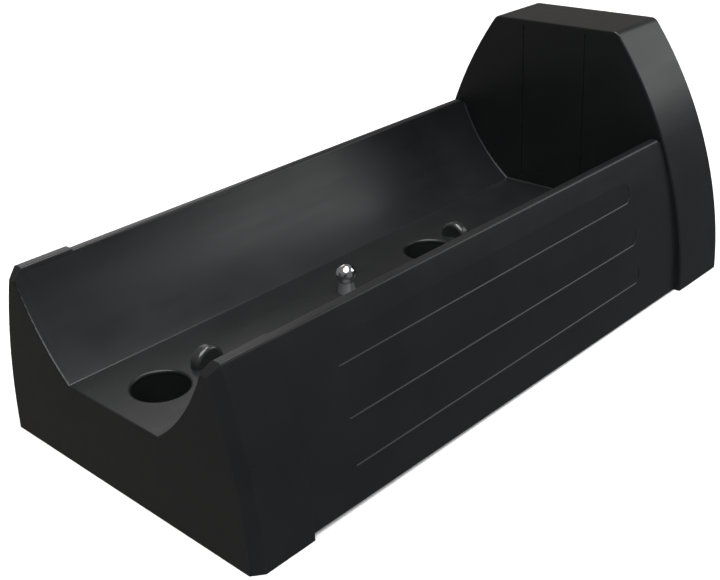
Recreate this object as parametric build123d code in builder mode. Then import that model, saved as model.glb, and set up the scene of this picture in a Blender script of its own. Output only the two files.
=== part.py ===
from build123d import *
import os

# A moulded cradle: an open trough with double-skinned curved side walls, a collar over its open
# near end and a tall end housing. Two blind post sockets open through the trough floor, each with
# a quarter-turn knob behind it that swings a cam into the socket. A ball stud stands between them.
# Frame: origin at the bottom centre, X across, Y from the open end towards the housing, Z up.

# ---- driving dimensions, mm ----
LENGTH = 560.0
HOUSING_DEPTH = 64.0
COLLAR_LENGTH = 49.5
HOUSING_HALF_WIDTH = 135.0
HOUSING_HEIGHT = 218.3
HOUSING_ARC_CENTRE = 227.0
WALL_ARC_CENTRE = 255.0
WALL_INSET = 4.5
COLLAR_INSET = 2.5
RIM_HEIGHT = 133.2
COLLAR_HEIGHT = 134.5
WALL_FOOT_NEAR = 3.8
WALL_FOOT_FAR = 1.2
SKIN = 3.5
JOINT_GAP = 0.1

# ---- trough ----
FLOOR_Z = 64.4
TROUGH_RADIUS = 156.5
TROUGH_CENTRE_X = 46.0
TROUGH_CENTRE_Z = 189.5
TROUGH_CREASE = 2.5
CAVITY_TOP = 122.0
RIM_ROUND = 2.3
RIM_END_DROP = 3.0
RIM_END_RUN = 4.0
SEAM_GROOVE = 0.9
FOOT_LIP = 1.0
FOOT_LIP_BEVEL = 0.9

# ---- flutes in the outer walls ----
FLUTE_LEDGES = (30.5, 63.5, 98.4)
FLUTE_HEIGHT = 17.0
FLUTE_DEPTH = 0.6
FLUTE_NEAR_Y = -192.0
FLUTE_FAR_Y = 156.0

# ---- collar ----
END_PLATE = 6.0
COLLAR_CORE_TOP = 130.0
CORNER_BEVEL_FACE = 6.2
CORNER_BEVEL_SIDE = 8.0
COLLAR_RIM_DROP = 7.0
COLLAR_RIM_RUN = 8.5
MOUTH_ROUND = 1.5

# ---- end housing ----
HOUSING_SKIN = 4.0
SHOULDER_ROUND = 8.0
FACE_ROUND = 1.5
RIB_GROOVE_X = 31.5
RIB_GROOVE_LOW = 70.0
RIB_GROOVE_HIGH = 213.5
RIB_GROOVE_WIDTH = 1.8
RIB_GROOVE_DEPTH = 0.9

# ---- base plate and its screws ----
PLATE_HALF_WIDTH = 121.0
PLATE_THICKNESS = 4.0
PLATE_END_GAP = 0.5
PLATE_CORNER = 6.0
POST_RADIUS = 5.0
POST_X = 40.0
POST_YS = (-140.0, -20.0, 150.0)
BOSS_SIZE = 14.0
BOSS_HEIGHT = 36.0
BOSS_ROOT = 0.5
COLLAR_BOSS_X = 90.0
HOUSING_BOSS_X = 60.0
SCREW_RADIUS = 2.0
SCREW_HEAD_RADIUS = 3.8
SCREW_HEAD_HEIGHT = 2.2
SCREW_LENGTH = 16.0
SCREW_CLEARANCE = 0.15
SCREW_RECESS = 2.4
DRIVE_RADIUS = 1.4
DRIVE_DEPTH = 1.3

# ---- post sockets ----
SOCKET_RADIUS = 20.2
SOCKET_WALL = 3.3
SOCKET_MOUTH_ROUND = 2.0
WINDOW_WIDTH = 28.0
WINDOW_GAP = 1.0
FRONT_SOCKET_Y = -239.0
REAR_SOCKET_Y = 42.0

# ---- quarter-turn knobs ----
FRONT_SETBACK = 41.0
REAR_SETBACK = 35.0
GRIP_RADIUS = 12.7
GRIP_THICKNESS = 9.6
GRIP_LIFT = 0.3
GRIP_ROUND = 3.2
HUB_RADIUS = 6.0
BUSH_CLEARANCE = 0.07
BUSH_RADIUS = 8.0
BUSH_FLANGE_RADIUS = 10.5
BUSH_FLANGE = 2.4
BUSH_BOTTOM_Z = 58.4
WASHER_RADII = (6.6, 9.6)
WASHER_WAVE = 0.35
WASHER_THICKNESS = 0.7
SHOULDER_RADIUS = 9.0
SHOULDER_HEIGHT = 3.0
SHAFT_RADIUS = 4.0
SPINDLE_RADIUS = 3.0
SPINDLE_FLAT = 2.3
SPINDLE_IN_GRIP = 16.0
SPINDLE_TAIL = 1.4
CAM_TOP_Z = 28.0
CAM_THICKNESS = 6.0
CAM_HUB_RADIUS = 8.6
CAM_NOSE_RADIUS = 4.5
CAM_TIP_GAP = 0.4
NUT_RADIUS = 5.77
NUT_HEIGHT = 5.0
NUT_BEVEL = 0.6
THREAD_GAP = 0.05

# ---- ball stud ----
BALL_RADIUS = 8.0
BALL_HEIGHT = 14.6
BALL_Y = -57.0
NECK_RADIUS = 7.0
NECK_HEIGHT = 9.0
NECK_TAPER = 10.0
STUD_SHANK_RADIUS = 3.0
STUD_WASHER_RADIUS = 8.0
STUD_WASHER = 1.6
STUD_TAIL = 2.0

# ---- derived places ----
NEAR_Y = -LENGTH / 2
FAR_Y = LENGTH / 2
WALL_END_Y = FAR_Y - HOUSING_DEPTH
SEAM_Y = NEAR_Y + COLLAR_LENGTH
TONGUE_Y = NEAR_Y + END_PLATE
FLOOR_UNDER_Z = FLOOR_Z - SKIN
WALL_HALF_WIDTH = HOUSING_HALF_WIDTH - WALL_INSET
COLLAR_HALF_WIDTH = HOUSING_HALF_WIDTH - COLLAR_INSET
TONGUE_HALF_WIDTH = COLLAR_HALF_WIDTH - SKIN - JOINT_GAP
PLATE_NEAR_Y = TONGUE_Y + PLATE_END_GAP
PLATE_FAR_Y = FAR_Y - HOUSING_SKIN - PLATE_END_GAP
COLLAR_BOSS_Y = TONGUE_Y + BOSS_SIZE / 2 - BOSS_ROOT
HOUSING_BOSS_YS = (
    WALL_END_Y + HOUSING_SKIN + BOSS_SIZE / 2 - BOSS_ROOT,
    FAR_Y - HOUSING_SKIN - BOSS_SIZE / 2 + BOSS_ROOT,
)
COLLAR_BOSSES = [(side * COLLAR_BOSS_X, COLLAR_BOSS_Y) for side in (-1, 1)]
HOUSING_BOSSES = [(side * HOUSING_BOSS_X, y) for side in (-1, 1) for y in HOUSING_BOSS_YS]
POSTS = [(side * POST_X, y) for side in (-1, 1) for y in POST_YS]
SCREW_PLACES = POSTS + COLLAR_BOSSES + HOUSING_BOSSES
FRONT_KNOB_Y = FRONT_SOCKET_Y + FRONT_SETBACK
REAR_KNOB_Y = REAR_SOCKET_Y + REAR_SETBACK
SHOULDER_TOP_Z = BUSH_BOTTOM_Z - 2 * WASHER_WAVE - WASHER_THICKNESS
SHAFT_TOP_Z = SHOULDER_TOP_Z - SHOULDER_HEIGHT
SPINDLE_TOP_Z = SHOULDER_TOP_Z + SPINDLE_IN_GRIP
CAM_LOW_Z = CAM_TOP_Z - CAM_THICKNESS
SPINDLE_BOTTOM_Z = CAM_LOW_Z - NUT_HEIGHT - SPINDLE_TAIL
STUD_NUT_TOP_Z = FLOOR_UNDER_Z - STUD_WASHER
STUD_BOTTOM_Z = STUD_NUT_TOP_Z - NUT_HEIGHT - STUD_TAIL


def section(y):
    """Cross-section plane at a given y; an extrusion from it runs towards the near end."""
    return Plane.XZ.offset(-y)


def side_arch(arc_centre, half_width, low, high):
    """Fill the outline between two large arcs that stand upright at the base."""
    radius = arc_centre + half_width
    with Locations((-arc_centre, 0)):
        Circle(radius)
    with Locations((arc_centre, 0)):
        Circle(radius, mode=Mode.INTERSECT)
    with Locations((0, (low + high) / 2)):
        Rectangle(3 * half_width, high - low, mode=Mode.INTERSECT)


def trough_outline(grow, top):
    """Outline of the trough space, grown into the material by a skin thickness."""
    low = FLOOR_Z - grow
    with BuildSketch(mode=Mode.PRIVATE) as trough:
        with Locations((-TROUGH_CENTRE_X, TROUGH_CENTRE_Z)):
            Circle(TROUGH_RADIUS + grow)
        with Locations((TROUGH_CENTRE_X, TROUGH_CENTRE_Z)):
            Circle(TROUGH_RADIUS + grow, mode=Mode.INTERSECT)
        with Locations((0, (low + top) / 2)):
            Rectangle(4 * TROUGH_RADIUS, top - low, mode=Mode.INTERSECT)
        fillet(trough.vertices().group_by(Axis.Y)[0], TROUGH_CREASE + grow)
    return trough.sketch


def flute_cutter():
    """Shallow scoops on one side wall: each fades out upwards and ends in a sloped ledge below."""
    with BuildPart() as wedges:
        for ledge in FLUTE_LEDGES:
            radius = WALL_ARC_CENTRE + WALL_HALF_WIDTH
            top = ledge + FLUTE_HEIGHT
            x_low = (radius**2 - ledge**2) ** 0.5 - WALL_ARC_CENTRE
            x_top = (radius**2 - top**2) ** 0.5 - WALL_ARC_CENTRE
            with BuildSketch(section(FLUTE_FAR_Y)):
                with BuildLine():
                    Polyline(
                        (x_low - FLUTE_DEPTH, ledge + FLUTE_DEPTH),
                        (x_low + FLUTE_DEPTH, ledge - FLUTE_DEPTH),
                        (x_low + FLUTE_DEPTH, top + FLUTE_DEPTH),
                        (x_top, top),
                        close=True,
                    )
                make_face()
            extrude(amount=FLUTE_FAR_Y - FLUTE_NEAR_Y)
        with BuildSketch(Plane.YZ):
            for ledge in FLUTE_LEDGES:
                with Locations(((FLUTE_NEAR_Y + FLUTE_FAR_Y) / 2, ledge + FLUTE_HEIGHT / 2)):
                    SlotOverall(FLUTE_FAR_Y - FLUTE_NEAR_Y, FLUTE_HEIGHT + 2 * FLUTE_DEPTH)
        extrude(amount=HOUSING_HALF_WIDTH, mode=Mode.INTERSECT)
    return wedges.part


RIGHT_FLUTES = flute_cutter()
LEFT_FLUTES = RIGHT_FLUTES.mirror(Plane.YZ)
pieces = []


def finish(builder, name):
    """Label a finished piece and keep it for export."""
    builder.part.label = name
    pieces.append(builder.part)


# ---- cradle body: floor, inner walls, outer walls and the tongue under the collar ----
with BuildPart() as cradle_body:
    with BuildSketch(section(WALL_END_Y)):
        side_arch(WALL_ARC_CENTRE, WALL_HALF_WIDTH, 0, RIM_HEIGHT)
        add(trough_outline(0, RIM_HEIGHT + SKIN), mode=Mode.SUBTRACT)
        fillet(vertices().group_by(Axis.Y)[-1], RIM_ROUND)
    extrude(amount=WALL_END_Y - SEAM_Y)
    with BuildSketch(section(SEAM_Y)):
        side_arch(WALL_ARC_CENTRE, TONGUE_HALF_WIDTH, 0, COLLAR_CORE_TOP - JOINT_GAP)
        add(trough_outline(0, RIM_HEIGHT + SKIN), mode=Mode.SUBTRACT)
    extrude(amount=SEAM_Y - TONGUE_Y)
    with BuildSketch(section(WALL_END_Y)):
        side_arch(WALL_ARC_CENTRE, WALL_HALF_WIDTH - SKIN, -SKIN, CAVITY_TOP)
        add(trough_outline(SKIN, RIM_HEIGHT + SKIN), mode=Mode.SUBTRACT)
    extrude(amount=WALL_END_Y - SEAM_Y, mode=Mode.SUBTRACT)
    with BuildSketch(section(SEAM_Y)):
        side_arch(WALL_ARC_CENTRE, TONGUE_HALF_WIDTH - SKIN, -SKIN, CAVITY_TOP)
        add(trough_outline(SKIN, RIM_HEIGHT + SKIN), mode=Mode.SUBTRACT)
    extrude(amount=SEAM_Y - TONGUE_Y, mode=Mode.SUBTRACT)
    add(RIGHT_FLUTES, mode=Mode.SUBTRACT)
    add(LEFT_FLUTES, mode=Mode.SUBTRACT)
    # a fine groove marks the seam with the collar
    with BuildSketch(section(SEAM_Y + SEAM_GROOVE)):
        Rectangle(3 * HOUSING_HALF_WIDTH, 3 * RIM_HEIGHT)
        with BuildSketch(mode=Mode.PRIVATE) as core:
            side_arch(WALL_ARC_CENTRE, WALL_HALF_WIDTH - SEAM_GROOVE, -SKIN, RIM_HEIGHT - SEAM_GROOVE)
        add(core.sketch, mode=Mode.SUBTRACT)
    extrude(amount=SEAM_GROOVE, mode=Mode.SUBTRACT)
    # the foot rises slightly towards the near end
    with BuildSketch(Plane.YZ):
        with BuildLine():
            Polyline(
                (NEAR_Y, -SKIN),
                (FAR_Y, -SKIN),
                (FAR_Y, WALL_FOOT_FAR),
                (NEAR_Y, WALL_FOOT_NEAR),
                close=True,
            )
        make_face()
    extrude(amount=HOUSING_HALF_WIDTH, both=True, mode=Mode.SUBTRACT)
    # the rim dips at its far end, where it meets the housing
    with BuildSketch(Plane.YZ.offset(-HOUSING_HALF_WIDTH)):
        with BuildLine():
            corner = (WALL_END_Y, RIM_HEIGHT - RIM_END_DROP)
            Line((WALL_END_Y - RIM_END_RUN, RIM_HEIGHT), (WALL_END_Y, RIM_HEIGHT))
            Line((WALL_END_Y, RIM_HEIGHT), corner)
            RadiusArc(corner, (WALL_END_Y - RIM_END_RUN, RIM_HEIGHT), RIM_END_RUN)
        make_face()
    extrude(amount=2 * HOUSING_HALF_WIDTH, mode=Mode.SUBTRACT)
    # a small bevelled lip runs round the trough at the foot of the housing
    with BuildSketch(section(WALL_END_Y)):
        add(trough_outline(FOOT_LIP / 2, RIM_HEIGHT - RIM_END_DROP - FOOT_LIP))
        add(trough_outline(-FOOT_LIP, RIM_HEIGHT + SKIN), mode=Mode.SUBTRACT)
    extrude(amount=FOOT_LIP)
    lip_radii = (TROUGH_RADIUS - FOOT_LIP, TROUGH_CREASE - FOOT_LIP)
    lip_face = edges().filter_by(lambda e: abs(e.center().Y - WALL_END_Y + FOOT_LIP) < 0.01)
    lip_arcs = lip_face.filter_by(GeomType.CIRCLE).filter_by(
        lambda e: min(abs(e.radius - radius) for radius in lip_radii) < 0.01
    )
    lip_sill = lip_face.filter_by(Axis.X).filter_by(
        lambda e: abs(e.center().Z - FLOOR_Z - FOOT_LIP) < 0.01
    )
    chamfer(lip_arcs + lip_sill, FOOT_LIP_BEVEL)
    # screw posts under the floor
    with BuildSketch(Plane.XY.offset(PLATE_THICKNESS)):
        with Locations(*POSTS):
            Circle(POST_RADIUS)
    extrude(amount=FLOOR_UNDER_Z - PLATE_THICKNESS + 1)
    with BuildSketch(Plane.XY.offset(PLATE_THICKNESS)):
        with Locations(*POSTS):
            Circle(SCREW_RADIUS + THREAD_GAP)
    extrude(amount=SCREW_LENGTH, mode=Mode.SUBTRACT)
    # openings through the floor
    with BuildSketch(Plane.XY.offset(FLOOR_UNDER_Z - 1)):
        with Locations((0, FRONT_SOCKET_Y), (0, REAR_SOCKET_Y)):
            Circle(SOCKET_RADIUS)
        with Locations((0, FRONT_KNOB_Y), (0, REAR_KNOB_Y)):
            Circle(BUSH_RADIUS + THREAD_GAP)
        with Locations((0, BALL_Y)):
            Circle(STUD_SHANK_RADIUS + SCREW_CLEARANCE)
    extrude(amount=SKIN + 3, mode=Mode.SUBTRACT)
    mouths = edges().filter_by(GeomType.CIRCLE).filter_by(lambda e: abs(e.radius - SOCKET_RADIUS) < 0.01)
    fillet(mouths.group_by(Axis.Z)[-1], SOCKET_MOUTH_ROUND)
finish(cradle_body, "cradle_body")

# ---- front collar: end plate and the band that wraps the near ends of the walls ----
with BuildPart() as front_collar:
    with BuildSketch(section(SEAM_Y)):
        side_arch(WALL_ARC_CENTRE, COLLAR_HALF_WIDTH, 0, COLLAR_HEIGHT)
    extrude(amount=COLLAR_LENGTH)
    # bevelled upright corners
    end_face = faces().sort_by(Axis.Y)[0]
    corners = edges().group_by(Axis.Y)[0].filter_by(GeomType.CIRCLE)
    chamfer(corners, CORNER_BEVEL_FACE, CORNER_BEVEL_SIDE, reference=end_face)
    # the rim slopes down to the end face
    with BuildSketch(Plane.YZ.offset(-HOUSING_HALF_WIDTH)):
        with BuildLine():
            Polyline(
                (NEAR_Y - 1, COLLAR_HEIGHT - COLLAR_RIM_DROP * (1 + 1 / COLLAR_RIM_RUN)),
                (NEAR_Y + COLLAR_RIM_RUN, COLLAR_HEIGHT),
                (NEAR_Y + COLLAR_RIM_RUN, COLLAR_HEIGHT + SKIN),
                (NEAR_Y - 1, COLLAR_HEIGHT + SKIN),
                close=True,
            )
        make_face()
    extrude(amount=2 * HOUSING_HALF_WIDTH, mode=Mode.SUBTRACT)
    # the trough runs out through the end plate
    with BuildSketch(section(SEAM_Y)):
        add(trough_outline(0, COLLAR_HEIGHT + SKIN))
    extrude(amount=COLLAR_LENGTH, mode=Mode.SUBTRACT)
    fillet(edges().filter_by(Axis.Y).group_by(Axis.Z)[-1], RIM_ROUND)
    # space for the cradle's tongue
    with BuildSketch(section(SEAM_Y)):
        side_arch(WALL_ARC_CENTRE, COLLAR_HALF_WIDTH - SKIN, -SKIN, COLLAR_CORE_TOP)
    extrude(amount=SEAM_Y - TONGUE_Y, mode=Mode.SUBTRACT)
    # bosses for the base screws
    with BuildSketch(Plane.XY.offset(PLATE_THICKNESS)):
        with Locations(*COLLAR_BOSSES):
            Rectangle(BOSS_SIZE, BOSS_SIZE)
    extrude(amount=BOSS_HEIGHT)
    with BuildSketch(Plane.XY.offset(PLATE_THICKNESS)):
        with Locations(*COLLAR_BOSSES):
            Circle(SCREW_RADIUS + THREAD_GAP)
    extrude(amount=SCREW_LENGTH, mode=Mode.SUBTRACT)
    # softened mouth of the trough
    mouth = edges().group_by(Axis.Y)[0]
    mouth_arcs = mouth.filter_by(GeomType.CIRCLE).filter_by(lambda e: abs(e.radius - TROUGH_RADIUS) < 0.01)
    mouth_sill = mouth.filter_by(Axis.X).filter_by(lambda e: abs(e.center().Z - FLOOR_Z) < 0.01)
    fillet(mouth_arcs + mouth_sill, MOUTH_ROUND)
finish(front_collar, "front_collar")

# ---- end housing: tall hollow block that closes the far end ----
with BuildPart() as end_housing:
    with BuildSketch(section(FAR_Y)):
        side_arch(HOUSING_ARC_CENTRE, HOUSING_HALF_WIDTH, 0, HOUSING_HEIGHT)
        fillet(vertices().group_by(Axis.Y)[-1], SHOULDER_ROUND)
    extrude(amount=HOUSING_DEPTH)
    for rim in (edges().group_by(Axis.Y)[0], edges().group_by(Axis.Y)[-1]):
        upper = rim.filter_by(lambda e: e.center().Z > 1)
        fillet(upper, FACE_ROUND)
    with BuildSketch(section(FAR_Y - HOUSING_SKIN)):
        side_arch(
            HOUSING_ARC_CENTRE, HOUSING_HALF_WIDTH - HOUSING_SKIN, -SKIN, HOUSING_HEIGHT - HOUSING_SKIN
        )
        fillet(vertices().group_by(Axis.Y)[-1], SHOULDER_ROUND - HOUSING_SKIN)
    extrude(amount=HOUSING_DEPTH - 2 * HOUSING_SKIN, mode=Mode.SUBTRACT)
    # two fine upright grooves on the face above the trough
    groove_middle = (RIB_GROOVE_LOW + RIB_GROOVE_HIGH) / 2
    with BuildSketch(section(WALL_END_Y + RIB_GROOVE_DEPTH)):
        with Locations((-RIB_GROOVE_X, groove_middle), (RIB_GROOVE_X, groove_middle)):
            SlotOverall(RIB_GROOVE_HIGH - RIB_GROOVE_LOW, RIB_GROOVE_WIDTH, rotation=90)
    extrude(amount=2 * RIB_GROOVE_DEPTH, mode=Mode.SUBTRACT)
    # the base plate passes under the front face
    with BuildSketch(section(WALL_END_Y + HOUSING_SKIN + 1)):
        Rectangle(2 * (PLATE_HALF_WIDTH + PLATE_END_GAP), 2 * (PLATE_THICKNESS + JOINT_GAP))
    extrude(amount=HOUSING_SKIN + 2, mode=Mode.SUBTRACT)
    with BuildSketch(Plane.XY.offset(PLATE_THICKNESS)):
        with Locations(*HOUSING_BOSSES):
            Rectangle(BOSS_SIZE, BOSS_SIZE)
    extrude(amount=BOSS_HEIGHT)
    with BuildSketch(Plane.XY.offset(PLATE_THICKNESS)):
        with Locations(*HOUSING_BOSSES):
            Circle(SCREW_RADIUS + THREAD_GAP)
    extrude(amount=SCREW_LENGTH, mode=Mode.SUBTRACT)
finish(end_housing, "end_housing")

# ---- base plate: closes the underside and ties the three mouldings together ----
with BuildPart() as base_plate:
    with BuildSketch():
        with Locations((0, (PLATE_NEAR_Y + PLATE_FAR_Y) / 2)):
            RectangleRounded(2 * PLATE_HALF_WIDTH, PLATE_FAR_Y - PLATE_NEAR_Y, PLATE_CORNER)
    extrude(amount=PLATE_THICKNESS)
    with BuildSketch():
        with Locations(*SCREW_PLACES):
            Circle(SCREW_RADIUS + SCREW_CLEARANCE)
    extrude(amount=PLATE_THICKNESS, mode=Mode.SUBTRACT)
    with BuildSketch():
        with Locations(*SCREW_PLACES):
            Circle(SCREW_HEAD_RADIUS + SCREW_CLEARANCE)
    extrude(amount=SCREW_RECESS, mode=Mode.SUBTRACT)
finish(base_plate, "base_plate")

# ---- base screws: one group of identical pan-head screws ----
with BuildPart() as base_screws:
    head_low = SCREW_RECESS - SCREW_HEAD_HEIGHT
    with BuildSketch(Plane.XY.offset(head_low)):
        with Locations(*SCREW_PLACES):
            Circle(SCREW_HEAD_RADIUS)
    extrude(amount=SCREW_HEAD_HEIGHT)
    with BuildSketch(Plane.XY.offset(head_low)):
        with Locations(*SCREW_PLACES):
            Circle(SCREW_RADIUS)
    extrude(amount=SCREW_LENGTH)
    with BuildSketch(Plane.XY.offset(head_low)):
        with Locations(*SCREW_PLACES):
            RegularPolygon(DRIVE_RADIUS, 6)
    extrude(amount=DRIVE_DEPTH, mode=Mode.SUBTRACT)
finish(base_screws, "base_screws")


def socket_sleeve(y, name):
    """Tube from the base plate to the floor, with a window for the cam on the knob's side."""
    with BuildPart() as sleeve:
        with BuildSketch(Plane.XY.offset(PLATE_THICKNESS)):
            with Locations((0, y)):
                Circle(SOCKET_RADIUS + SOCKET_WALL)
                Circle(SOCKET_RADIUS, mode=Mode.SUBTRACT)
        extrude(amount=FLOOR_UNDER_Z - PLATE_THICKNESS)
        with BuildSketch(Plane.XY.offset(CAM_LOW_Z - WINDOW_GAP)):
            with Locations((0, y + SOCKET_RADIUS)):
                Rectangle(WINDOW_WIDTH, 4 * SOCKET_WALL)
        extrude(amount=CAM_THICKNESS + 2 * WINDOW_GAP, mode=Mode.SUBTRACT)
    finish(sleeve, name)


socket_sleeve(FRONT_SOCKET_Y, "front_socket_sleeve")
socket_sleeve(REAR_SOCKET_Y, "rear_socket_sleeve")


def hex_nut(place, top, bore, name):
    """Hexagonal nut under the floor, bevelled on its lower corners."""
    with BuildPart() as nut:
        with BuildSketch(Plane.XY.offset(top - NUT_HEIGHT)):
            with Locations(place):
                RegularPolygon(NUT_RADIUS, 6)
        extrude(amount=NUT_HEIGHT)
        with BuildSketch(Plane.XY.offset(top - NUT_HEIGHT)):
            with Locations(place):
                Circle(NUT_RADIUS)
        extrude(amount=NUT_HEIGHT, taper=-8, mode=Mode.INTERSECT)
        with BuildSketch(Plane.XY.offset(top - NUT_HEIGHT)):
            with Locations(place):
                Circle(bore)
        extrude(amount=NUT_HEIGHT, mode=Mode.SUBTRACT)
        chamfer(edges().filter_by(GeomType.CIRCLE).group_by(Axis.Z)[0], NUT_BEVEL / 2)
    finish(nut, name)


def knob_set(prefix, y, setback, grip_angle, cam_angle):
    """One quarter-turn lock: grip, bush, spring washer, spindle, cam and nut."""
    grip_base = FLOOR_Z + GRIP_LIFT
    knob_plane = Plane((0, y, grip_base)).rotated((0, 0, grip_angle))
    disc_plane = Plane(knob_plane.origin, x_dir=knob_plane.x_dir, z_dir=-knob_plane.y_dir)
    cam_plane = Plane((0, y, CAM_LOW_Z)).rotated((0, 0, cam_angle))
    cam_reach = setback - SOCKET_RADIUS - CAM_TIP_GAP

    with BuildPart() as grip:
        with BuildSketch(disc_plane.offset(-GRIP_THICKNESS / 2)):
            Circle(GRIP_RADIUS)
            with Locations((0, -GRIP_RADIUS)):
                Rectangle(3 * GRIP_RADIUS, 2 * GRIP_RADIUS, mode=Mode.SUBTRACT)
        extrude(amount=GRIP_THICKNESS)
        fillet(edges().filter_by(GeomType.CIRCLE), GRIP_ROUND)
        with BuildSketch(Plane.XY.offset(SHOULDER_TOP_Z)):
            with Locations((0, y)):
                Circle(HUB_RADIUS)
        extrude(amount=grip_base - SHOULDER_TOP_Z)
        with BuildSketch(Plane.XY.offset(SHOULDER_TOP_Z)):
            with Locations((0, y)):
                Circle(SPINDLE_RADIUS + THREAD_GAP)
        extrude(amount=SPINDLE_IN_GRIP, mode=Mode.SUBTRACT)
    finish(grip, prefix + "_knob_grip")

    with BuildPart() as bush:
        with BuildSketch(Plane.XY.offset(BUSH_BOTTOM_Z)):
            with Locations((0, y)):
                Circle(BUSH_RADIUS)
        extrude(amount=FLOOR_Z - BUSH_BOTTOM_Z)
        with BuildSketch(Plane.XY.offset(BUSH_BOTTOM_Z)):
            with Locations((0, y)):
                Circle(BUSH_FLANGE_RADIUS)
        extrude(amount=BUSH_FLANGE)
        with BuildSketch(Plane.XY.offset(BUSH_BOTTOM_Z)):
            with Locations((0, y)):
                Circle(HUB_RADIUS + BUSH_CLEARANCE)
        extrude(amount=FLOOR_Z - BUSH_BOTTOM_Z, mode=Mode.SUBTRACT)
    finish(bush, prefix + "_knob_bush")

    with BuildPart() as washer:
        with BuildSketch(Plane.XY.offset(SHOULDER_TOP_Z + WASHER_WAVE)):
            with Locations((0, y)):
                Circle(WASHER_RADII[1])
                Circle(WASHER_RADII[0], mode=Mode.SUBTRACT)
        extrude(amount=WASHER_THICKNESS)
        # two low pads under the ring and two high pads over it stand for its waves
        for turn, low in ((0, SHOULDER_TOP_Z), (90, BUSH_BOTTOM_Z - WASHER_WAVE)):
            with BuildSketch(Plane((0, y, low)).rotated((0, 0, turn))):
                Circle(WASHER_RADII[1])
                Circle(WASHER_RADII[0], mode=Mode.SUBTRACT)
                Rectangle(2 * WASHER_RADII[1], WASHER_RADII[0], mode=Mode.INTERSECT)
            extrude(amount=WASHER_WAVE)
    finish(washer, prefix + "_spring_washer")

    with BuildPart() as spindle:
        with BuildSketch(Plane.XY.offset(SPINDLE_BOTTOM_Z)):
            with Locations((0, y)):
                Circle(SPINDLE_RADIUS)
        extrude(amount=SPINDLE_TOP_Z - SPINDLE_BOTTOM_Z)
        chamfer(edges().filter_by(GeomType.CIRCLE), SPINDLE_RADIUS / 6)
        with BuildSketch(Plane.XY.offset(CAM_TOP_Z)):
            with Locations((0, y)):
                Circle(SHAFT_RADIUS)
        extrude(amount=SHAFT_TOP_Z - CAM_TOP_Z)
        with BuildSketch(Plane.XY.offset(SHAFT_TOP_Z)):
            with Locations((0, y)):
                Circle(SHOULDER_RADIUS)
        extrude(amount=SHOULDER_HEIGHT)
        with BuildSketch(cam_plane):
            with Locations((0, SPINDLE_FLAT + SPINDLE_RADIUS)):
                Rectangle(3 * SPINDLE_RADIUS, 2 * SPINDLE_RADIUS)
        extrude(amount=CAM_THICKNESS, mode=Mode.SUBTRACT)
    finish(spindle, prefix + "_knob_spindle")

    with BuildPart() as cam:
        with BuildSketch(cam_plane):
            Circle(CAM_HUB_RADIUS)
            with Locations((0, CAM_NOSE_RADIUS - cam_reach)):
                Circle(CAM_NOSE_RADIUS)
            make_hull()
            with BuildSketch(mode=Mode.PRIVATE) as drive:
                Circle(SPINDLE_RADIUS + THREAD_GAP)
                with Locations((0, SPINDLE_FLAT + THREAD_GAP + SPINDLE_RADIUS)):
                    Rectangle(3 * SPINDLE_RADIUS, 2 * SPINDLE_RADIUS, mode=Mode.SUBTRACT)
            add(drive.sketch, mode=Mode.SUBTRACT)
        extrude(amount=CAM_THICKNESS)
    finish(cam, prefix + "_lock_cam")

    hex_nut((0, y), CAM_LOW_Z, SPINDLE_RADIUS + THREAD_GAP, prefix + "_cam_nut")


knob_set("front", FRONT_KNOB_Y, FRONT_SETBACK, grip_angle=90, cam_angle=0)
knob_set("rear", REAR_KNOB_Y, REAR_SETBACK, grip_angle=0, cam_angle=90)

# ---- ball stud with its washer and nut ----
with BuildPart() as ball_stud:
    with BuildSketch(Plane.XY.offset(STUD_BOTTOM_Z)):
        with Locations((0, BALL_Y)):
            Circle(STUD_SHANK_RADIUS)
    extrude(amount=FLOOR_Z - STUD_BOTTOM_Z)
    chamfer(edges().filter_by(GeomType.CIRCLE).group_by(Axis.Z)[0], STUD_SHANK_RADIUS / 6)
    with BuildSketch(Plane.XY.offset(FLOOR_Z)):
        with Locations((0, BALL_Y)):
            Circle(NECK_RADIUS)
    extrude(amount=NECK_HEIGHT, taper=NECK_TAPER)
    with Locations((0, BALL_Y, FLOOR_Z + BALL_HEIGHT)):
        Sphere(BALL_RADIUS)
finish(ball_stud, "ball_stud")

with BuildPart() as ball_stud_washer:
    with BuildSketch(Plane.XY.offset(STUD_NUT_TOP_Z)):
        with Locations((0, BALL_Y)):
            Circle(STUD_WASHER_RADIUS)
            Circle(STUD_SHANK_RADIUS + SCREW_CLEARANCE, mode=Mode.SUBTRACT)
    extrude(amount=STUD_WASHER)
finish(ball_stud_washer, "ball_stud_washer")

hex_nut((0, BALL_Y), STUD_NUT_TOP_Z, STUD_SHANK_RADIUS + THREAD_GAP, "ball_stud_nut")

# ---- export ----
os.makedirs("parts", exist_ok=True)
for piece in pieces:
    export_step(piece, "parts/" + piece.label + ".step")
    print(piece.label, [round(v, 1) for v in piece.bounding_box().size], round(piece.volume))
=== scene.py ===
# %% [markdown]
# # A moulded cradle, finished around its CAD frame
# The object is a black moulded trough on which a long thing is rested and locked: two sockets take
# its posts, a small thumb knob behind each socket turns a cam, and a chrome ball stud takes a
# push-fit cup. The CAD model already holds every shape that has a size. Blender adds what the eye
# reads as material: grain, gloss, rubbed edges, plating and light. Everything is in metres in the
# frame of the CAD model.

# %% Load the CAD frame
from math import cos, radians, sin

import bpy
from mathutils import Matrix, Vector

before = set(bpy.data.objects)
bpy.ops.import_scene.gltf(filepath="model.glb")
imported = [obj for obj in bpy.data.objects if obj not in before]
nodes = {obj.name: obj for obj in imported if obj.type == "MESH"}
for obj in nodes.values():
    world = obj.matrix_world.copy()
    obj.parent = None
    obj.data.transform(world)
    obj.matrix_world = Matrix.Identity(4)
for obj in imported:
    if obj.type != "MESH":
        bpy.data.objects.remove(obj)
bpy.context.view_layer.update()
MM = 0.001
print("CAD nodes:", len(nodes))

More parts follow.
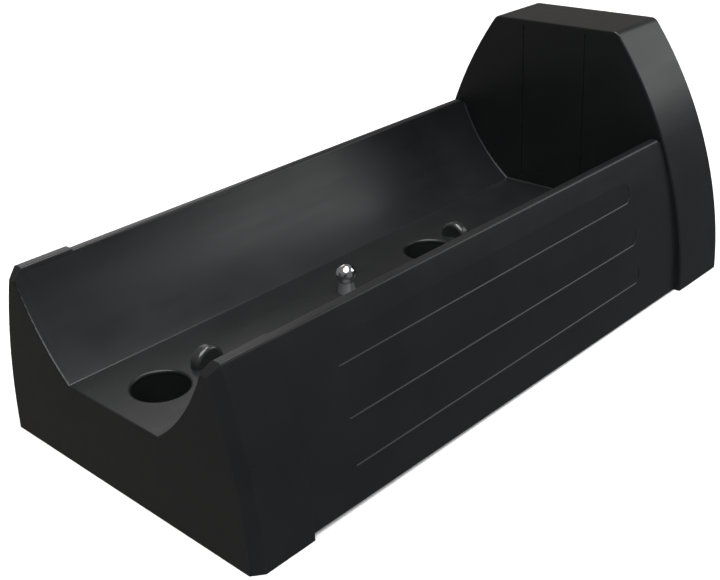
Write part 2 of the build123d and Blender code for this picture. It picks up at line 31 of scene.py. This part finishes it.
# %% [markdown]
# ## Tools for colour and nodes
# Colour charts and pickers give sRGB hex values, and the renderer works in linear light, so one
# function converts them. A second function adds one node with its settings and links. With it a
# material reads as a list of physical causes: grain, cloudiness, wear, then the shader.


# %% Colour and node helpers
def linear(hex_colour):
    """sRGB hex such as '1c1d1e' to a linear RGBA tuple."""
    channels = [int(hex_colour[i : i + 2], 16) / 255 for i in (0, 2, 4)]
    lights = [c / 12.92 if c <= 0.04045 else ((c + 0.055) / 1.055) ** 2.4 for c in channels]
    return (*lights, 1.0)


def add_node(tree, kind, links=None, **settings):
    """Add one node. Settings are attributes or inputs. Links are input name or index to socket."""
    node = tree.nodes.new("ShaderNode" + kind)
    for name, value in settings.items():
        if hasattr(node, name):
            setattr(node, name, value)
        else:
            node.inputs[name.replace("_", " ")].default_value = value
    for name, socket in (links or {}).items():
        tree.links.new(socket, node.inputs[name])
    return node


def new_material(name, **shader_values):
    """A material holding its Principled shader, with uniform values set straight on the sockets."""
    material = bpy.data.materials.new(name)
    material.use_nodes = True
    shader = material.node_tree.nodes["Principled BSDF"]
    for socket, value in shader_values.items():
        shader.inputs[socket.replace("_", " ")].default_value = value
    return material, material.node_tree, shader


# %% [markdown]
# ## Patterns shared by all the materials
# Three patterns explain most of what is seen on a handled industrial part. A fine grain comes from
# the tool that shaped the surface. Broad clouds of gloss come from how it cooled or was plated and
# from how it was touched. Wear shows first on the edges. The edge mask compares the true normal
# with one averaged over a small radius: the two differ only where the surface turns sharply.


# %% Grain, clouds and edge wear
def add_noise(tree, coordinates, feature_mm, detail, stretch=(1.0, 1.0, 1.0)):
    """Noise whose blobs are about feature_mm across. Stretch makes them longer along an axis."""
    mapping = add_node(tree, "Mapping", {"Vector": coordinates})
    mapping.inputs["Scale"].default_value = tuple(1 / s for s in stretch)
    moved = {"Vector": mapping.outputs["Vector"]}
    return add_node(tree, "TexNoise", moved, Scale=1 / (feature_mm * MM), Detail=detail)


def add_range(tree, value, low, high, to_low, to_high):
    """Map a value from one range to another and clamp it."""
    ends = {"From_Min": low, "From_Max": high, "To_Min": to_low, "To_Max": to_high}
    return add_node(tree, "MapRange", {"Value": value}, **ends).outputs["Result"]


def add_edge_wear(tree, coordinates, radius_mm, patch_mm):
    """A mask that is 1 on rubbed edges. It is broken up, because hands never rub evenly."""
    rounded = add_node(tree, "Bevel", samples=4, Radius=radius_mm * MM).outputs["Normal"]
    true_normal = add_node(tree, "NewGeometry").outputs["Normal"]
    agreement = add_node(tree, "VectorMath", {0: rounded, 1: true_normal}, operation="DOT_PRODUCT")
    edge = add_range(tree, agreement.outputs["Value"], 0.80, 0.99, 1.0, 0.0)
    patches = add_noise(tree, coordinates, patch_mm, 3.0).outputs["Fac"]
    rubbed = add_range(tree, patches, 0.35, 0.65, 0.25, 1.0)
    return add_node(tree, "Math", {0: edge, 1: rubbed}, operation="MULTIPLY").outputs["Value"]


# %% [markdown]
# ## Moulded plastic
# The three large mouldings are injection-moulded black ABS. The mould wall was spark-eroded, so the
# skin has a fine matt grain and hardly any flow gloss. Such a grain is usually near 0.15 mm, too
# fine to show, so here it is drawn about five times as coarse. Carbon black makes the body colour
# almost neutral and very dark. What is seen is mostly the weak reflection of the room.
# A spark-eroded skin scatters part of that reflection back into its own pits, so the specular level
# is set below that of a polished plastic. The knobs come from a polished mould and are glossier.
# The gloss varies only a little. On the large mouldings its sharp end stops at a roughness of 0.28,
# because a sharper range left small marks on the dark faces after denoising. Only the rubbed edges
# go lower.


# %% Plastic recipe
CLOUD_MM, FLOW_MM, FLOW_STRETCH = 42.0, 9.0, (1.0, 14.0, 1.0)
SHARPER, DULLER, WORN_SHARPER = 0.03, 0.05, 0.15


def moulded_plastic(name, colour, worn_colour, roughness, specular, grain_mm, grain_depth_mm, wear):
    """Black moulded plastic: grain bump, clouded gloss, faint shade variation and rubbed edges."""
    material, tree, shader = new_material(name, Specular_IOR_Level=specular, IOR=1.5)
    place = add_node(tree, "TexCoord").outputs["Object"]
    grain = add_noise(tree, place, grain_mm, 2.0).outputs["Fac"]
    clouds = add_noise(tree, place, CLOUD_MM, 3.0).outputs["Fac"]
    flow = add_noise(tree, place, FLOW_MM, 2.0, stretch=FLOW_STRETCH).outputs["Fac"]
    worn = add_edge_wear(tree, place, 1.1, 6.0)

    shade = add_range(tree, clouds, 0.3, 0.7, 0.0, 1.0)
    body = add_node(tree, "Mix", {"Factor": shade}, data_type="RGBA")
    body.inputs["A"].default_value = linear(colour[0])
    body.inputs["B"].default_value = linear(colour[1])
    worn_amount = add_node(tree, "Math", {0: worn}, operation="MULTIPLY")
    worn_amount.inputs[1].default_value = wear
    layers = {"Factor": worn_amount.outputs["Value"], "A": body.outputs["Result"]}
    surface = add_node(tree, "Mix", layers, data_type="RGBA")
    surface.inputs["B"].default_value = linear(worn_colour)
    tree.links.new(surface.outputs["Result"], shader.inputs["Base Color"])

    gloss = add_node(tree, "Math", {0: clouds, 1: flow}, operation="ADD").outputs["Value"]
    spread = add_range(tree, gloss, 0.7, 1.3, roughness - SHARPER, roughness + DULLER)
    rubbed = {0: worn_amount.outputs["Value"], 2: spread}
    smoother = add_node(tree, "Math", rubbed, operation="MULTIPLY_ADD")
    smoother.inputs[1].default_value = -WORN_SHARPER
    tree.links.new(smoother.outputs["Value"], shader.inputs["Roughness"])

    bump = add_node(tree, "Bump", {"Height": grain}, Strength=0.2, Distance=grain_depth_mm * MM)
    tree.links.new(bump.outputs["Normal"], shader.inputs["Normal"])
    return material


# %% The plastics
moulded_abs = moulded_plastic(
    "spark_eroded_black_abs", ("161718", "191a1b"), "3a3c3e", 0.31, 0.35, 0.8, 0.05, wear=0.35
)
sheet_abs = moulded_plastic(
    "extruded_black_abs_sheet", ("161717", "1a1b1b"), "343638", 0.52, 0.35, 1.4, 0.05, wear=0.4
)
sleeve_nylon = moulded_plastic(
    "turned_black_nylon", ("1b1c1c", "1f2020"), "2e3030", 0.40, 0.30, 0.5, 0.03, wear=0.3
)
knob_abs = moulded_plastic(
    "semi_gloss_black_abs", ("222323", "262727"), "4c4e4f", 0.22, 0.75, 0.5, 0.02, wear=0.6
)
print("plastics:", [m.name for m in (moulded_abs, sheet_abs, sleeve_nylon, knob_abs)])

# %% [markdown]
# ## Metals
# The ball stud is turned steel with decorative chrome. It is close to a mirror, with hair scratches
# where a cup has been pushed on and off. Such scratches are usually a few hundredths of a
# millimetre wide, too fine to show, so they are drawn several times wider. The cams, spindles,
# nuts, washers and screws are zinc-plated steel, duller and slightly spangled. The spring washers
# are hardened and oiled, which leaves them dark. A metal keeps the default index, and its colour is
# what it reflects face on.


# %% Metal recipe
def plated_metal(name, colour, dull_colour, roughness, scratch_mm, scratch_depth_mm, spangle_mm):
    """Plated or oiled metal: spangles in shade and gloss, and hair scratches as bump."""
    material, tree, shader = new_material(name, Metallic=1.0)
    place = add_node(tree, "TexCoord").outputs["Object"]
    spangle = add_noise(tree, place, spangle_mm, 3.0).outputs["Fac"]
    scratches = add_noise(tree, place, scratch_mm, 2.0, stretch=(1.0, 1.0, 18.0)).outputs["Fac"]
    worn = add_edge_wear(tree, place, 0.4, 2.0)

    shade = add_range(tree, spangle, 0.3, 0.7, 0.0, 1.0)
    face = add_node(tree, "Mix", {"Factor": shade}, data_type="RGBA")
    face.inputs["A"].default_value = linear(dull_colour)
    face.inputs["B"].default_value = linear(colour)
    tree.links.new(face.outputs["Result"], shader.inputs["Base Color"])

    spread = add_range(tree, spangle, 0.3, 0.7, roughness * 1.3, roughness * 0.8)
    smoother = add_node(tree, "Math", {0: worn, 2: spread}, operation="MULTIPLY_ADD")
    smoother.inputs[1].default_value = -0.3 * roughness
    tree.links.new(smoother.outputs["Value"], shader.inputs["Roughness"])

    depth = scratch_depth_mm * MM
    bump = add_node(tree, "Bump", {"Height": scratches}, Strength=0.3, Distance=depth)
    tree.links.new(bump.outputs["Normal"], shader.inputs["Normal"])
    return material


# %% The metals
chrome = plated_metal("polished_chrome_plate", "d9dbdd", "c6c8cb", 0.09, 0.25, 0.004, 6.0)
zinc = plated_metal("zinc_plated_steel", "b4b7bb", "8f9398", 0.36, 0.30, 0.010, 1.5)
spring = plated_metal("oiled_spring_steel", "5c5a58", "3d3c3d", 0.34, 0.30, 0.010, 2.5)
print("metals:", [m.name for m in (chrome, zinc, spring)])

# %% [markdown]
# ## The neck of the stud
# The ball is bright and the neck under it is pale and satin. Probably only the ball is polished
# before plating, because only the ball slides in its cup, and the neck keeps its turning marks.
# The piece is one turned part, so one material is changed by height instead of being split in two.

# %% Satin neck under the polished ball
NECK_TOP_MM, NECK_BLEND_MM = 73.0, 0.5
SATIN = 0.32
stud_tree = chrome.node_tree
gloss_input = stud_tree.nodes["Principled BSDF"].inputs["Roughness"]
polish = gloss_input.links[0].from_socket
place = add_node(stud_tree, "TexCoord").outputs["Object"]
stud_height = add_node(stud_tree, "SeparateXYZ", {"Vector": place}).outputs["Z"]
blend_low, blend_high = (NECK_TOP_MM - NECK_BLEND_MM) * MM, (NECK_TOP_MM + NECK_BLEND_MM) * MM
satin = add_range(stud_tree, stud_height, blend_low, blend_high, SATIN, 0.0)
total = add_node(stud_tree, "Math", {0: polish, 1: satin}, operation="ADD")
stud_tree.links.new(total.outputs["Value"], gloss_input)
print("ball polished above, mm:", NECK_TOP_MM)

# %% [markdown]
# ## Giving each CAD node its material
# Each node is one kind of physical piece, so one rule by name covers them all, and the last line
# checks that nothing was left bare.

# %% Assign the materials
MATERIAL_BY_WORD = {
    "cradle_body": moulded_abs,
    "front_collar": moulded_abs,
    "end_housing": moulded_abs,
    "base_plate": sheet_abs,
    "sleeve": sleeve_nylon,
    "bush": sleeve_nylon,
    "grip": knob_abs,
    "spring_washer": spring,
    "spindle": zinc,
    "cam": zinc,
    "screws": zinc,
    "stud_washer": zinc,
    "stud_nut": zinc,
    "ball_stud": chrome,
}
for name, obj in nodes.items():
    word = next(word for word in MATERIAL_BY_WORD if word in name)
    obj.data.materials.clear()
    obj.data.materials.append(MATERIAL_BY_WORD[word])
print("bare nodes:", [n for n, o in nodes.items() if not o.data.materials])

# %% [markdown]
# ## Camera
# The camera stands at the right front corner and looks down along the trough. A slight roll and a
# small shift set the object across the frame on its long diagonal.

# %% Camera
AZIMUTH, ELEVATION, ROLL = radians(46.18), radians(23.11), radians(-3.49)
CAMERA_PLACE_MM = (553.1, -620.4, 450.2)
SENSOR_MM, LENS_MM = 36.0, 56.95
SHIFT = (0.0654, -0.0771)

cam_data = bpy.data.cameras.new("camera")
camera = bpy.data.objects.new("camera", cam_data)
bpy.context.scene.collection.objects.link(camera)
bpy.context.scene.camera = camera
back = Vector((sin(AZIMUTH) * cos(ELEVATION), -cos(AZIMUTH) * cos(ELEVATION), sin(ELEVATION)))
right = (-back).cross(Vector((0, 0, 1))).normalized()
up = right.cross(-back)
rolled_right = cos(ROLL) * right + sin(ROLL) * up
rolled_up = -sin(ROLL) * right + cos(ROLL) * up
turn = Matrix((rolled_right, rolled_up, back)).transposed()
camera.matrix_world = Matrix.Translation(Vector(CAMERA_PLACE_MM) * MM) @ turn.to_4x4()
cam_data.sensor_width = SENSOR_MM
cam_data.lens = LENS_MM
cam_data.shift_x, cam_data.shift_y = SHIFT
cam_data.clip_start, cam_data.clip_end = 0.05, 50
print("camera at, mm:", CAMERA_PLACE_MM, "lens, mm:", LENS_MM)

# %% [markdown]
# ## Studio floor
# The object stands on a white light table that glows a little by itself. It is hidden from glossy
# rays, so it fills the background but is not mirrored in the dark side walls. That is a studio
# trick and not physics: with it the walls stay as dark as they should.

# %% Floor
HALF = 8.0
TABLE_GLOW = 0.12
floor_mesh = bpy.data.meshes.new("studio_floor")
corners = [(-HALF, -HALF, 0), (HALF, -HALF, 0), (HALF, HALF, 0), (-HALF, HALF, 0)]
floor_mesh.from_pydata(corners, [], [(0, 1, 2, 3)])
floor = bpy.data.objects.new("studio_floor", floor_mesh)
bpy.context.scene.collection.objects.link(floor)
table, tree, shader = new_material(
    "white_light_table",
    Roughness=0.9,
    Base_Color=linear("f6f6f5"),
    Emission_Color=linear("ffffff"),
    Emission_Strength=TABLE_GLOW,
)
fibres = add_noise(tree, add_node(tree, "TexCoord").outputs["Object"], 1.5, 2.0).outputs["Fac"]
bump = add_node(tree, "Bump", {"Height": fibres}, Strength=0.1, Distance=0.05 * MM)
tree.links.new(bump.outputs["Normal"], shader.inputs["Normal"])
floor_mesh.materials.append(table)
floor.visible_glossy = False
print("floor side, m:", 2 * HALF)

# %% [markdown]
# ## Room light
# A black object shows its room more than its own colour. The room is dim near and below the
# horizon, which is what the side walls mirror, and brighter above. It is slightly warm on the left,
# as from a lamp, and slightly cool on the right, as from a window.

# %% Room light
GROUND_GLOW, SKY_GLOW = 0.13, 0.25
GLOW_FROM, GLOW_TO = 0.15, 0.5
LAMP_WHITE, DAY_WHITE = "fff7f0", "f1f6fc"
world = bpy.data.worlds.new("studio")
bpy.context.scene.world = world
world.use_nodes = True
room = world.node_tree
background = room.nodes["Background"]
direction = add_node(room, "TexCoord").outputs["Generated"]
axes = add_node(room, "SeparateXYZ", {"Vector": direction}).outputs
glow = add_range(room, axes["Z"], GLOW_FROM, GLOW_TO, GROUND_GLOW, SKY_GLOW)
room.links.new(glow, background.inputs["Strength"])
side = add_range(room, axes["X"], -0.5, 0.5, 0.0, 1.0)
tint = add_node(room, "Mix", {"Factor": side}, data_type="RGBA")
tint.inputs["A"].default_value = linear(LAMP_WHITE)
tint.inputs["B"].default_value = linear(DAY_WHITE)
room.links.new(tint.outputs["Result"], background.inputs["Color"])
print("room glow low and high:", GROUND_GLOW, SKY_GLOW)

# %% [markdown]
# ## Lamps
# A wide overhead light draws thin highlights along the rims and ledges. A softbox at the right rear
# is what the curved walls mirror. It makes the pale band inside the left wall and the sheen near
# the top of the housing. A smaller one on the left grazes the near end of the trough floor, and a
# small one above draws the fine line where the floor turns up into the wall.


# %% Lamps
def aim(lamp, place, target):
    """Put a lamp in the scene at a place and point it at a target."""
    obj = bpy.data.objects.new(lamp.name, lamp)
    bpy.context.scene.collection.objects.link(obj)
    obj.location = place
    obj.rotation_mode = "QUATERNION"
    obj.rotation_quaternion = (Vector(target) - Vector(place)).to_track_quat("-Z", "Y")
    return obj


def softbox(name, place, target, size, power):
    """Rectangular softbox. Size is width and height in metres."""
    lamp = bpy.data.lights.new(name, "AREA")
    lamp.shape = "RECTANGLE"
    lamp.size, lamp.size_y = size
    lamp.energy = power
    return aim(lamp, place, target)


overhead = bpy.data.lights.new("overhead_silk", "SUN")
overhead.energy = 3.4
overhead.angle = radians(55)
aim(overhead, (0.5, -0.5, 2.0), (0, 0, 0))
softbox("right_rear_softbox", (0.85, 1.18, 0.80), (0, 0.05, 0.15), (0.95, 0.85), 5.5)
softbox("left_softbox", (-1.25, 0.48, 0.80), (0, -0.25, 0.1), (0.70, 0.65), 1.7)
softbox("top_softbox", (-0.10, 0.25, 1.25), (0, -0.20, 0.1), (0.5, 0.3), 4.5)
bpy.context.scene.view_settings.view_transform = "Standard"
